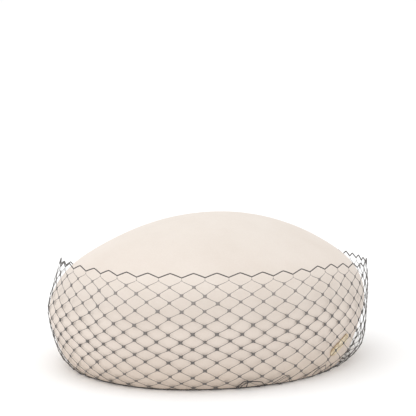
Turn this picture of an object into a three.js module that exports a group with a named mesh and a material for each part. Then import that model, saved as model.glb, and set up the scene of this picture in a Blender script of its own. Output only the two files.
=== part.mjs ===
// A pillbox hat of soft cream felt with a band of diamond netting round it.
// Millimetres, +Z up, +Y to the back of the head, origin under the middle of the hat.
import * as THREE from 'three';
import { ParametricGeometry } from 'three/addons/geometries/ParametricGeometry.js';
import { mergeVertices } from 'three/addons/utils/BufferGeometryUtils.js';

// Felt crown
const crownLength = 206;
const crownWidth = 178;
const crownHeight = 88.7;
const feltThickness = 2.4;
const apexDriftAcross = 2.6;
const apexDriftBack = 4.7;

// Netting
const netThickness = 1;
const strandWidth = 2.2;
const netColumns = 20;
const netLevels = 5;
const toothDepth = 2.6;
const hemRise = 4;
const hemTurnUp = 8;
const seatGap = 0.3;

// Plain gilt plate on the felt
const plateLength = 18;
const plateWidth = 6;
const plateThickness = 0.8;
const plateAngle = 21;
const plateHeight = 15.8;
const plateTilt = 27;

// How finely the pieces are faceted
const feltSlices = 60;
const feltRows = 16;
const plateEndFacets = 5;
const plateSideFacets = 4;

const halfLength = crownLength / 2;
const halfWidth = crownWidth / 2;
const rimHeight = netThickness + seatGap;
const wallOffset = netThickness / 2 + seatGap;

// The crown's section from its rolled-under edge to its apex.
// height is a share of crownHeight, reach a share of the oval's half length and half width.
const crownSection = [
  { height: 0.0, reach: 0.858 },
  { height: 0.04, reach: 0.885 },
  { height: 0.1, reach: 0.922 },
  { height: 0.22, reach: 0.966 },
  { height: 0.37, reach: 1.0 },
  { height: 0.52, reach: 0.977 },
  { height: 0.66, reach: 0.882 },
  { height: 0.79, reach: 0.706 },
  { height: 0.9, reach: 0.494 },
  { height: 0.97, reach: 0.272 },
  { height: 1.0, reach: 0.0 },
];

// What the felt's edge flares beyond its section, at plan angles from the hat's +X towards its
// back, as a share of the oval. The flare fades out at flareHeight, a share of crownHeight.
const feltFlare = [
  { angle: -42, flare: -0.006 },
  { angle: 3, flare: 0.03 },
  { angle: 48, flare: 0.055 },
  { angle: 93, flare: 0.03 },
  { angle: 138, flare: 0.0 },
  { angle: 238, flare: 0.0 },
  { angle: 273, flare: -0.015 },
];
const flareHeight = 0.25;

// How the net stands round the hat, at the same kind of plan angles. fold, low and belly: what it
// stands clear of the felt at its lower fold, near the rim and at the widest place, reach: of its
// top edge, all as shares of the oval; top: its top edge as a share of crownHeight.
const netStance = [
  { angle: -42, fold: 0.0, low: 0.02, belly: 0.007, reach: 0.97, top: 0.767 },
  { angle: 3, fold: 0.0, low: 0.03, belly: 0.008, reach: 0.995, top: 0.745 },
  { angle: 48, fold: 0.04, low: 0.067, belly: 0.022, reach: 1.02, top: 0.655 },
  { angle: 93, fold: 0.02, low: 0.045, belly: 0.012, reach: 0.975, top: 0.6 },
  { angle: 138, fold: 0.0, low: 0.03, belly: 0.009, reach: 0.965, top: 0.615 },
  { angle: 183, fold: 0.005, low: 0.02, belly: 0.007, reach: 0.96, top: 0.595 },
  { angle: 212, fold: 0.01, low: 0.03, belly: 0.006, reach: 0.955, top: 0.595 },
  { angle: 238, fold: 0.005, low: 0.02, belly: 0.006, reach: 0.93, top: 0.7 },
  { angle: 273, fold: 0.0, low: 0.01, belly: 0.006, reach: 0.94, top: 0.752 },
];

// Where the net's section bends, as shares of crownHeight. Its shoulder lies between the belly and
// the top edge: shoulderBelly of the belly's reach, and the rest of the edge's, with a little fullness.
const lowHeight = 0.11;
const bellyHeight = 0.37;
const shoulderLift = 0.02;
const shoulderBelly = 0.45;
const shoulderFullness = 0.008;

const felt = new THREE.MeshStandardMaterial({ color: 0xefe3d6, roughness: 0.95 });
const netting = new THREE.MeshStandardMaterial({ color: 0x2c2a2b, roughness: 0.7 });
const gilt = new THREE.MeshStandardMaterial({ color: 0xc9a75e, roughness: 0.3, metalness: 1 });

// The whole arch, from one rim over the apex to the other, so that its top is round.
const rising = crownSection.map(({ height, reach }) => new THREE.Vector2(reach, height));
const falling = rising.slice(0, -1).reverse().map(({ x, y }) => new THREE.Vector2(-x, y));
const arch = new THREE.SplineCurve([...rising, ...falling]);
const archStep = 0.001;
const searchSteps = 24;

/** One column of a table at a plan angle, blended smoothly between its rows. */
function blended(rows, column, angle) {
  const from = rows[0].angle;
  const turn = THREE.MathUtils.euclideanModulo(THREE.MathUtils.radToDeg(angle) - from, 360);
  const row = rows.findLastIndex((candidate) => candidate.angle - from <= turn);
  const next = rows[(row + 1) % rows.length];
  const span = THREE.MathUtils.euclideanModulo(next.angle - rows[row].angle, 360);
  const part = (turn - (rows[row].angle - from)) / span;
  return THREE.MathUtils.lerp(rows[row][column], next[column], (1 - Math.cos(Math.PI * part)) / 2);
}

/** What the felt's flared edge adds to its reach. */
function flare(angle, height) {
  return blended(feltFlare, 'flare', angle) * Math.max(0, 1 - height / flareHeight) ** 2;
}

/** Millimetres of the oval at a plan angle for one unit of reach, square to its edge. */
function ovalScale(angle) {
  return 1 / Math.hypot(Math.cos(angle) / halfWidth, Math.sin(angle) / halfLength);
}

/** A point of the hat from its plan angle, its distance out and its height. */
function onOval(angle, out, height) {
  const reach = out / ovalScale(angle);
  return [halfWidth * reach * Math.cos(angle), halfLength * reach * Math.sin(angle), height];
}

/** The felt's outer section at a share of the way from rim to apex, in millimetres. */
function feltStation(angle, share) {
  const point = arch.getPoint(share / 2);
  const ahead = arch.getPoint(share / 2 + archStep);
  const scale = ovalScale(angle);
  point.x = Math.max(point.x, 0) + flare(angle, point.y);
  ahead.x += flare(angle, ahead.y);
  const slope = new THREE.Vector2((ahead.x - point.x) * scale, (ahead.y - point.y) * crownHeight);
  slope.normalize();
  return {
    out: point.x * scale,
    height: rimHeight + point.y * crownHeight,
    normal: new THREE.Vector2(slope.y, -slope.x),
  };
}

/** How far out the felt stands at a plan angle and a share of the crown's height, as reach. */
function feltReach(angle, height) {
  let low = 0;
  let high = 0.5;
  for (let i = 0; i < searchSteps; i += 1) {
    const middle = (low + high) / 2;
    if (arch.getPoint(middle).y < height) low = middle;
    else high = middle;
  }
  return arch.getPoint(low).x + flare(angle, height);
}

/** Width of the flat edge under the felt's wall. */
function rimWidth(angle) {
  return feltThickness / feltStation(angle, 0).normal.x;
}

/** The apex sits a little off the middle, and the felt leans to it. */
function lean([x, y, z]) {
  const share = ((z - rimHeight) / crownHeight) ** 2;
  return [x + apexDriftAcross * share, y + apexDriftBack * share, z];
}

/** Felt wall: down the outside from the apex, across the rim and up the inside. */
function crownPoint(around, along, target) {
  const angle = -around * 2 * Math.PI;
  const row = Math.round(along * (2 * feltRows + 1));
  const inside = row > feltRows;
  const share = (inside ? row - feltRows - 1 : feltRows - row) / feltRows;
  const { out, height, normal } = feltStation(angle, share);
  if (!inside) {
    return target.set(...lean(onOval(angle, out, height)));
  }
  if (share === 0) {
    return target.set(...lean(onOval(angle, out - rimWidth(angle), height)));
  }
  const inner = Math.max(out - feltThickness * normal.x, 0);
  const innerHeight = height - feltThickness * normal.y;
  return target.set(...lean(onOval(angle, share === 1 ? 0 : inner, innerHeight)));
}

/** Welds a geometry's seams and poles and drops the empty triangles left there. */
function welded(geometry) {
  geometry.deleteAttribute('normal');
  geometry.deleteAttribute('uv');
  const merged = mergeVertices(geometry);
  const corners = merged.index.array;
  const kept = [];
  for (let i = 0; i < corners.length; i += 3) {
    const [a, b, c] = corners.slice(i, i + 3);
    if (a !== b && b !== c && c !== a) kept.push(a, b, c);
  }
  merged.setIndex(kept);
  merged.computeVertexNormals();
  return merged;
}

function crownGeometry() {
  return welded(new ParametricGeometry(crownPoint, feltSlices, 2 * feltRows + 1));
}

/** A closed solid from faces of a sheet, listed counter-clockwise as seen from outside. */
function sheetSolid(faces, place) {
  const known = new Map();
  const positions = [];
  const index = [];
  const edges = new Map();
  const corner = ([u, v]) => {
    const key = `${u.toFixed(4)} ${v.toFixed(4)}`;
    if (!known.has(key)) {
      known.set(key, positions.length / 3);
      positions.push(...place(u, v, 1), ...place(u, v, -1));
    }
    return known.get(key);
  };
  for (const face of faces) {
    const ids = face.map(corner);
    for (let i = 1; i < ids.length - 1; i += 1) {
      index.push(ids[0], ids[i], ids[i + 1]);
      index.push(ids[0] + 1, ids[i + 1] + 1, ids[i] + 1);
    }
    ids.forEach((id, i) => {
      const next = ids[(i + 1) % ids.length];
      edges.set(`${id} ${next}`, [id, next]);
    });
  }
  for (const [a, b] of edges.values()) {
    if (!edges.has(`${b} ${a}`)) {
      index.push(a, a + 1, b + 1, a, b + 1, b);
    }
  }
  const geometry = new THREE.BufferGeometry();
  geometry.setAttribute('position', new THREE.Float32BufferAttribute(positions, 3));
  geometry.setIndex(index);
  geometry.computeVertexNormals();
  return geometry;
}

/** The turned hem's corners at a plan angle: inner edge, inner fold and outer fold. */
function hemCorners(angle) {
  const rim = feltStation(angle, 0).out;
  const inner = rim - rimWidth(angle) - wallOffset;
  const fold = blended(netStance, 'fold', angle) * ovalScale(angle);
  return [
    new THREE.Vector2(inner, rimHeight + hemTurnUp),
    new THREE.Vector2(inner, netThickness / 2),
    new THREE.Vector2(rim + wallOffset + fold, netThickness / 2),
  ];
}

const wallCurves = new Map();

/** Middle of the net's wall at a plan angle, from the outer fold up to the top edge. */
function wallCurve(angle) {
  const key = angle.toFixed(6);
  if (!wallCurves.has(key)) {
    const scale = ovalScale(angle);
    const at = (out, height, clear) =>
      new THREE.Vector2(out * scale + clear, rimHeight + height * crownHeight);
    const low = feltReach(angle, lowHeight) + blended(netStance, 'low', angle);
    const belly = feltReach(angle, bellyHeight) + blended(netStance, 'belly', angle);
    const reach = blended(netStance, 'reach', angle);
    const top = blended(netStance, 'top', angle);
    const shoulder = THREE.MathUtils.lerp(reach, belly, shoulderBelly) + shoulderFullness;
    wallCurves.set(key, new THREE.SplineCurve([
      hemCorners(angle)[2],
      at(low, lowHeight, wallOffset),
      at(belly, bellyHeight, wallOffset),
      at(shoulder, (bellyHeight + top) / 2 + shoulderLift, 0),
      at(reach, top, 0),
    ]));
  }
  return wallCurves.get(key);
}

const outwards = ({ x, y }) => new THREE.Vector2(y, -x);

/** The normal at a fold, long enough to keep both sides at the sheet's full thickness. */
function mitre(before, after) {
  return before.clone().add(after).divideScalar(1 + before.dot(after));
}

/** Middle and normal of the net at a plan angle and level; levels under 0 are the turned hem. */
function netStation(angle, level) {
  const curve = wallCurve(angle);
  const length = curve.getLength();
  if (level < 0) {
    const corners = hemCorners(angle);
    const down = new THREE.Vector2(0, -1);
    const towardsAxis = new THREE.Vector2(-1, 0);
    const folds = [towardsAxis, mitre(towardsAxis, down), mitre(down, outwards(curve.getTangentAt(0)))];
    return { middle: corners[level + 3], normal: folds[level + 3] };
  }
  const topEdge = length - toothDepth / 2 - strandWidth;
  const along = hemRise + ((topEdge - hemRise) * Math.min(level, netLevels)) / netLevels;
  const share = level > netLevels ? 1 : along / length;
  const tangent = curve.getTangentAt(share);
  const middle = curve.getPointAt(share);
  if (level > netLevels) {
    middle.addScaledVector(tangent, (level - netLevels - 1.5) * toothDepth);
  }
  return { middle, normal: outwards(tangent) };
}

/** A point on the outer (side 1) or inner (side -1) face of the net. */
function netPoint(halfColumn, level, side) {
  const angle = (Math.PI * halfColumn) / netColumns;
  const { middle, normal } = netStation(angle, level);
  const point = middle.clone().addScaledVector(normal, (side * netThickness) / 2);
  return onOval(angle, point.x, point.y);
}

const around = (halfColumn) => THREE.MathUtils.euclideanModulo(halfColumn, 2 * netColumns);
const midway = ([u, v], [s, t]) => [(u + s) / 2, (v + t) / 2];

/** How far a gap's corners stay from the knots, in half columns and in levels. */
function cornerInsets() {
  const halfColumn = (Math.PI * (halfLength + halfWidth)) / 2 / netColumns;
  const level = (wallCurve(0).getLength() - hemRise - strandWidth) / netLevels;
  const diagonal = Math.hypot(halfColumn, level);
  const side = (strandWidth * diagonal) / 2 / level / halfColumn;
  const end = (strandWidth * diagonal) / 2 / halfColumn / level;
  return { side, end };
}

/** The two strands that climb from a knot to the next level, each in two faces. */
function strandFaces(u, v, { side, end }) {
  return [1, -1].flatMap((way) => {
    const low = [u + way * side, v];
    const high = [u, v + end];
    const farLow = [u + way, v + 1 - end];
    const farHigh = [u + way * (1 - side), v + 1];
    const lowMiddle = midway(low, farLow);
    const highMiddle = midway(high, farHigh);
    const faces = [
      [low, lowMiddle, highMiddle, high],
      [lowMiddle, farLow, farHigh, highMiddle],
    ];
    return way > 0 ? faces : faces.map((face) => face.reverse());
  });
}

/** A knot where strands cross; on the lowest and highest level only the half inside the net. */
function knotFace(u, v, { side, end }) {
  const face = [[u + side, v]];
  if (v < netLevels) face.push([u, v + end]);
  face.push([u - side, v]);
  if (v > 0) face.push([u, v - end]);
  return face;
}

/** Places along a level where its knots and the edge's teeth stand; peak marks a tooth's tip. */
function edgeStations(level, { side }) {
  const stations = [];
  for (let u = 1 - (level % 2); u < 2 * netColumns; u += 2) {
    stations.push(
      { u: u - side, peak: 0 },
      { u: u + side, peak: 0 },
      { u: u + 0.5, peak: 1 },
      { u: u + 1, peak: 0 },
      { u: u + 1.5, peak: 1 },
    );
  }
  return stations;
}

/** A strip of faces between two edges that are given at the same stations. */
function stripFaces(stations, lower, upper) {
  return stations.map((from, i) => {
    const to = stations[(i + 1) % stations.length];
    return [[from.u, lower(from)], [to.u, lower(to)], [to.u, upper(to)], [from.u, upper(from)]];
  });
}

function netFaces() {
  const insets = cornerInsets();
  const faces = [];
  for (let v = 0; v <= netLevels; v += 1) {
    for (let u = 1 - (v % 2); u < 2 * netColumns; u += 2) {
      faces.push(knotFace(u, v, insets));
      if (v < netLevels) faces.push(...strandFaces(u, v, insets));
    }
  }
  const hem = edgeStations(0, insets);
  for (const row of [-3, -2, -1]) {
    faces.push(...stripFaces(hem, () => row, () => row + 1));
  }
  const selvedge = edgeStations(netLevels, insets);
  faces.push(...stripFaces(selvedge, () => netLevels, ({ peak }) => netLevels + 1 + peak));
  return faces.map((face) => face.map(([u, v]) => [around(u), v]));
}

/** A point of the gilt plate, bent to the felt: along and across the plate, and on which face. */
function platePoint(along, across, side) {
  const tilt = THREE.MathUtils.degToRad(plateTilt);
  const middle = THREE.MathUtils.degToRad(plateAngle);
  const level = along * Math.cos(tilt) - across * Math.sin(tilt);
  const rise = along * Math.sin(tilt) + across * Math.cos(tilt);
  const height = (plateHeight + rise) / crownHeight;
  const reach = feltReach(middle, height);
  const angle = middle + level / (ovalScale(middle) * reach);
  const proud = seatGap + (side > 0 ? plateThickness : 0);
  return onOval(angle, ovalScale(angle) * reach + proud, rimHeight + plateHeight + rise);
}

/** Gilt plate with round ends, in strips along its length. */
function plateFaces() {
  const ends = plateEndFacets;
  const sides = plateSideFacets;
  const radius = plateWidth / 2;
  const straight = plateLength / 2 - radius;
  const columns = [];
  for (let i = 1; i <= ends; i += 1) {
    const turn = (i / ends) * (Math.PI / 2);
    columns.push([-straight - radius * Math.cos(turn), radius * Math.sin(turn)]);
  }
  for (let i = 1; i < sides; i += 1) {
    columns.push([-straight + (2 * straight * i) / sides, radius]);
  }
  for (let i = ends; i >= 1; i -= 1) {
    const turn = (i / ends) * (Math.PI / 2);
    columns.push([straight + radius * Math.cos(turn), radius * Math.sin(turn)]);
  }
  const faces = columns.slice(1).flatMap(([x, half], i) => {
    const [last, lastHalf] = columns[i];
    return [
      [[last, -lastHalf], [x, -half], [x, 0], [last, 0]],
      [[last, 0], [x, 0], [x, half], [last, lastHalf]],
    ];
  });
  const tip = plateLength / 2;
  const [first, firstHalf] = columns[0];
  faces.push([[-tip, 0], [first, -firstHalf], [first, 0]], [[-tip, 0], [first, 0], [first, firstHalf]]);
  faces.push([[tip, 0], [-first, 0], [-first, -firstHalf]], [[tip, 0], [-first, firstHalf], [-first, 0]]);
  return faces;
}

function named(name, geometry, material) {
  const mesh = new THREE.Mesh(geometry, material);
  mesh.name = name;
  return mesh;
}

const hat = new THREE.Group();
hat.add(named('crown', crownGeometry(), felt));
hat.add(named('veil', sheetSolid(netFaces(), netPoint), netting));
hat.add(named('pin_plate', sheetSolid(plateFaces(), platePoint), gilt));

export default hat;
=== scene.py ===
"""A cream felt pillbox hat in black diamond netting, modelled round its fixed frame.

Blender units are metres. +Z is up, +Y goes to the back of the head and +X to the wearer's left.
"""

import logging
import math
import random
from dataclasses import dataclass, field
from enum import Enum
from typing import Any, Callable, Iterable, Sequence

import bmesh
import bpy
import numpy as np
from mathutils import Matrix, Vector
from mathutils.kdtree import KDTree


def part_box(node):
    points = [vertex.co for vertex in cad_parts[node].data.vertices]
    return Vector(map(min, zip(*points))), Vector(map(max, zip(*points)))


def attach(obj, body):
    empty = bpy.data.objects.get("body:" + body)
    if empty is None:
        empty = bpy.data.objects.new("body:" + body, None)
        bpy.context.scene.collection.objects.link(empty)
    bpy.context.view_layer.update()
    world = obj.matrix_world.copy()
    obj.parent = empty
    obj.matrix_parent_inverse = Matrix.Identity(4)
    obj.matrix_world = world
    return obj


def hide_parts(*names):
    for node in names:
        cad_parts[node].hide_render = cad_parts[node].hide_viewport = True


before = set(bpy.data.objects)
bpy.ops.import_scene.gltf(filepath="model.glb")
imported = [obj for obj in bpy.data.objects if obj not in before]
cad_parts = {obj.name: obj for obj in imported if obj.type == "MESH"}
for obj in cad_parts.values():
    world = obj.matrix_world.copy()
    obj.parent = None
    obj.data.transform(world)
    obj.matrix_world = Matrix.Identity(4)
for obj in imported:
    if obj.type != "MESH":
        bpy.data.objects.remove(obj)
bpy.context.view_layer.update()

LOG = logging.getLogger("pillbox_hat")
MM = 0.001
BODY = "root"

# A height in metres times this is 0 on the floor and a little over 1 at the hat's top.
HEIGHT_SCALE = 12.0

# Places in the net's lattice are quarters of a step, so two that are nearer than this are the same.
SAME = 0.01

Point = tuple[float, float, float]
Colour = tuple[float, float, float]


class Slot(Enum):
    """The record's material slots."""

    FELT = "felt"
    NETTING = "netting"
    GILT = "gilt"


class Node(Enum):
    """The nodes of the fixed frame."""

    CROWN = "crown"
    VEIL = "veil"
    PIN_PLATE = "pin_plate"


class Wire:
    """A shader socket that can be written in sums."""

    def __init__(self, shader: "Shader", socket: bpy.types.NodeSocket) -> None:
        """Keep the shader that the socket belongs to."""
        self.shader = shader
        self.socket = socket

    def _maths(self, operation: str, first: Any, second: Any) -> "Wire":
        """Add one Math node."""
        return self.shader.node("ShaderNodeMath", {"operation": operation}, {0: first, 1: second})

    def __add__(self, other: Any) -> "Wire":
        """Add a number or a wire."""
        return self._maths("ADD", self, other)

    __radd__ = __add__

    def __mul__(self, other: Any) -> "Wire":
        """Multiply by a number or a wire."""
        return self._maths("MULTIPLY", self, other)

    __rmul__ = __mul__


class Shader:
    """A material, or the world, whose nodes are added by one method."""

    def __init__(self, name: str, shelf: Any = bpy.data.materials) -> None:
        """Start without nodes.

        Args:
            name: The name of the material or the world.
            shelf: Where it is kept.
        """
        self.made = shelf.new(name)
        self.made.use_nodes = True
        self.tree = self.made.node_tree
        self.tree.nodes.clear()

    def node(
        self,
        kind: str,
        settings: dict[str, Any] | None = None,
        sockets: dict[str | int, Any] | None = None,
        output: str | int = 0,
    ) -> Wire:
        """Add one node.

        Args:
            kind: The node's type.
            settings: Its settings, which are set first; stops are a ramp's positions and colours.
            sockets: Values or wires for its inputs, by name or number.
            output: The output that is given back.

        Returns:
            The chosen output as a wire.
        """
        made = self.tree.nodes.new(kind)
        for key, value in (settings or {}).items():
            if key == "stops":
                self._set_stops(made.color_ramp, value)
            else:
                setattr(made, key, value)
        for key, value in (sockets or {}).items():
            if isinstance(value, Wire):
                self.tree.links.new(value.socket, made.inputs[key])
            else:
                made.inputs[key].default_value = value
        return Wire(self, made.outputs[output] if made.outputs else None)

    @staticmethod
    def _set_stops(ramp: bpy.types.ColorRamp, stops: Sequence[tuple[float, Colour]]) -> None:
        """Give a ramp its stops.

        Args:
            ramp: The ramp, with no more stops than it gets.
            stops: Positions from 0 to 1 with their colours.
        """
        while len(ramp.elements) < len(stops):
            ramp.elements.new(1.0)
        for element, (position, colour) in zip(ramp.elements, stops, strict=True):
            element.position = position
            element.color = (*colour, 1.0)

    def coordinates(self) -> Wire:
        """Give the object's own coordinates, in metres."""
        return self.node("ShaderNodeTexCoord", output="Object")

    def axis(self, name: str) -> Wire:
        """Give one of the object's own coordinates, in metres."""
        return self.node("ShaderNodeSeparateXYZ", {}, {"Vector": self.coordinates()}, output=name)

    def height(self) -> Wire:
        """Give the height above the floor, from 0 to a little over 1 at the hat's top."""
        return self.axis("Z") * HEIGHT_SCALE

    def noise(self, size: float, detail: float, roughness: float) -> Wire:
        """Add noise whose lumps are about a given size.

        Args:
            size: The lumps' size, in metres.
            detail: How many finer layers it has.
            roughness: How strong the finer layers are.

        Returns:
            The noise from 0 to 1.
        """
        return self.node(
            "ShaderNodeTexNoise",
            {"noise_dimensions": "3D"},
            {"Vector": self.coordinates(), "Scale": 1.0 / size, "Detail": detail, "Roughness": roughness},
        )

    def ramp(self, factor: Wire, stops: Sequence[tuple[float, Colour]]) -> Wire:
        """Turn a factor into a colour."""
        return self.node("ShaderNodeValToRGB", {"stops": stops}, {"Fac": factor})

    def mix(self, factor: Any, first: Any, second: Any, blend: str = "MIX") -> Wire:
        """Mix two colours."""
        given = {0: factor, 6: self._colour(first), 7: self._colour(second)}
        return self.node("ShaderNodeMix", {"data_type": "RGBA", "blend_type": blend}, given, output=2)

    @staticmethod
    def _colour(value: Any) -> Any:
        """Give a plain colour its alpha."""
        return value if isinstance(value, Wire) else (*value, 1.0)

    def bump(self, height: Wire, distance: float, strength: float) -> Wire:
        """Turn a height into a normal."""
        given = {"Height": height, "Distance": distance, "Strength": strength}
        return self.node("ShaderNodeBump", {}, given)

    def finish(self, **sockets: Any) -> bpy.types.Material:
        """Close the material with its surface shader.

        Args:
            **sockets: The surface's inputs, with _ for a space.

        Returns:
            The finished material.
        """
        named = {key.replace("_", " "): value for key, value in sockets.items()}
        surface = self.node("ShaderNodeBsdfPrincipled", {}, named)
        self.node("ShaderNodeOutputMaterial", {}, {"Surface": surface})
        return self.made


@dataclass(frozen=True)
class FeltFinish:
    """Cream wool felt with a short nap."""

    cream: Colour = (0.755, 0.690, 0.634)
    shade: Colour = (0.710, 0.638, 0.576)
    # edge, low, high and top are painted shade and light by height: the felt is painted darker and warmer
    # towards its turned-under edge and paler and greyer towards its top.
    edge: Colour = (0.95, 0.885, 0.82)
    low: Colour = (0.985, 0.952, 0.928)
    high: Colour = (0.975, 0.958, 0.943)
    top: Colour = (0.962, 0.962, 0.955)
    blot_size: float = 30 * MM
    blot_share: float = 0.6
    nap_size: float = 1.1 * MM
    nap_share: float = 0.6
    fibre_size: float = 0.35 * MM

    def material(self) -> bpy.types.Material:
        """Build the felt.

        Returns:
            The felt's material, with painted shade that darkens and warms it towards its edge and painted
            light that pales it towards its top.
        """
        shader = Shader("cream_felt")
        blots = shader.noise(self.blot_size, detail=3.0, roughness=0.6)
        nap = shader.noise(self.nap_size, detail=3.0, roughness=0.65)
        fibres = shader.noise(self.fibre_size, detail=2.0, roughness=0.7)
        mottling = blots * self.blot_share + nap * (1 - self.blot_share)
        tone = shader.ramp(mottling, [(0.30, self.shade), (0.62, self.cream)])
        # Painted shade and light by height, multiplied into the felt's colour.
        steps = [(0.0, self.edge), (0.3, self.low), (0.7, self.high), (1.0, self.top)]
        painted_shade_by_height = shader.ramp(shader.height(), steps)
        tone = shader.mix(1.0, tone, painted_shade_by_height, "MULTIPLY")
        surface = nap * self.nap_share + fibres * (1 - self.nap_share)
        return shader.finish(
            Base_Color=tone,
            Roughness=0.92,
            Sheen_Weight=0.12,
            Sheen_Roughness=0.55,
            Specular_IOR_Level=0.2,
            Normal=shader.bump(surface, distance=0.5 * MM, strength=0.28),
        )


@dataclass(frozen=True)
class ThreadFinish:
    """Black thread with a dull lustre, with painted light that pales it higher up and painted shade that
    darkens it towards the picture's two sides.
    """

    name: str
    dark: Colour
    light: Colour
    # The two numbers below set painted light and shade: how many times paler the thread is painted higher
    # up than low down, and the share of its colour left at the picture's two sides.
    painted_light_ratio: float = 1.0
    painted_side_shade: float = 1.0
    picture_right: tuple[float, float] = (0.67, 0.74)
    side_scale: float = 11.0
    fibre_size: float = 0.25 * MM
    fibre_share: float = 0.7
    patch_size: float = 4 * MM
    roughness: float = 0.62

    def material(self) -> bpy.types.Material:
        """Build the thread.

        Returns:
            The thread's material.
        """
        shader = Shader(self.name)
        fibres = shader.noise(self.fibre_size, detail=2.0, roughness=0.6)
        patches = shader.noise(self.patch_size, detail=2.0, roughness=0.5)
        mottling = fibres * self.fibre_share + patches * (1 - self.fibre_share)
        tone = shader.ramp(mottling, [(0.35, self.dark), (0.70, self.light)])
        # Painted light by height: the thread is painted darker low down and full colour higher up.
        white, low, side = ((share,) * 3 for share in (1.0, 1.0 / self.painted_light_ratio, self.painted_side_shade))
        painted_light_ramp = shader.ramp(shader.height(), [(0.35, low), (0.78, white)])
        # Painted shade towards the picture's two sides, along the camera's right direction on the floor.
        across, along = self.picture_right
        aside = (shader.axis("X") * across + shader.axis("Y") * along) * self.side_scale
        painted_side_shade_ramp = shader.ramp(aside * aside, [(0.3, white), (0.95, side)])
        tone = shader.mix(1.0, shader.mix(1.0, tone, painted_light_ramp, "MULTIPLY"), painted_side_shade_ramp, "MULTIPLY")
        return shader.finish(
            Base_Color=tone,
            Roughness=self.roughness,
            Sheen_Weight=0.15,
            Sheen_Roughness=0.5,
            Normal=shader.bump(fibres, distance=0.12 * MM, strength=0.5),
        )


@dataclass(frozen=True)
class GiltFinish:
    """Pale gilt metal, brushed and a little dulled."""

    bright: Colour = (0.88, 0.79, 0.60)
    dull: Colour = (0.64, 0.50, 0.32)
    cloud_size: float = 3 * MM
    grain_size: float = 0.5 * MM
    smooth: float = 0.26
    rougher: float = 0.15

    def material(self) -> bpy.types.Material:
        """Build the gilt.

        Returns:
            The gilt's material.
        """
        shader = Shader("pale_gilt")
        clouds = shader.noise(self.cloud_size, detail=3.0, roughness=0.6)
        grain = shader.noise(self.grain_size, detail=2.0, roughness=0.6)
        tone = shader.ramp(clouds, [(0.36, self.dull), (0.60, self.bright)])
        return shader.finish(
            Base_Color=tone,
            Metallic=1.0,
            Roughness=grain * self.rougher + self.smooth,
            Normal=shader.bump(grain, distance=0.08 * MM, strength=0.25),
        )


@dataclass(frozen=True)
class FloorFinish:
    """White paper that the hat stands on."""

    white: Colour = (0.97, 0.97, 0.97)
    duller: float = 0.995
    grain_size: float = 20 * MM

    def material(self) -> bpy.types.Material:
        """Build the paper.

        Returns:
            The paper's material.
        """
        shader = Shader("white_paper")
        grain = shader.noise(self.grain_size, detail=2.0, roughness=0.5)
        dull = tuple(self.duller * value for value in self.white)
        tone = shader.ramp(grain, [(0.2, dull), (0.8, self.white)])
        return shader.finish(Base_Color=tone, Roughness=0.9, Specular_IOR_Level=0.1)


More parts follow.
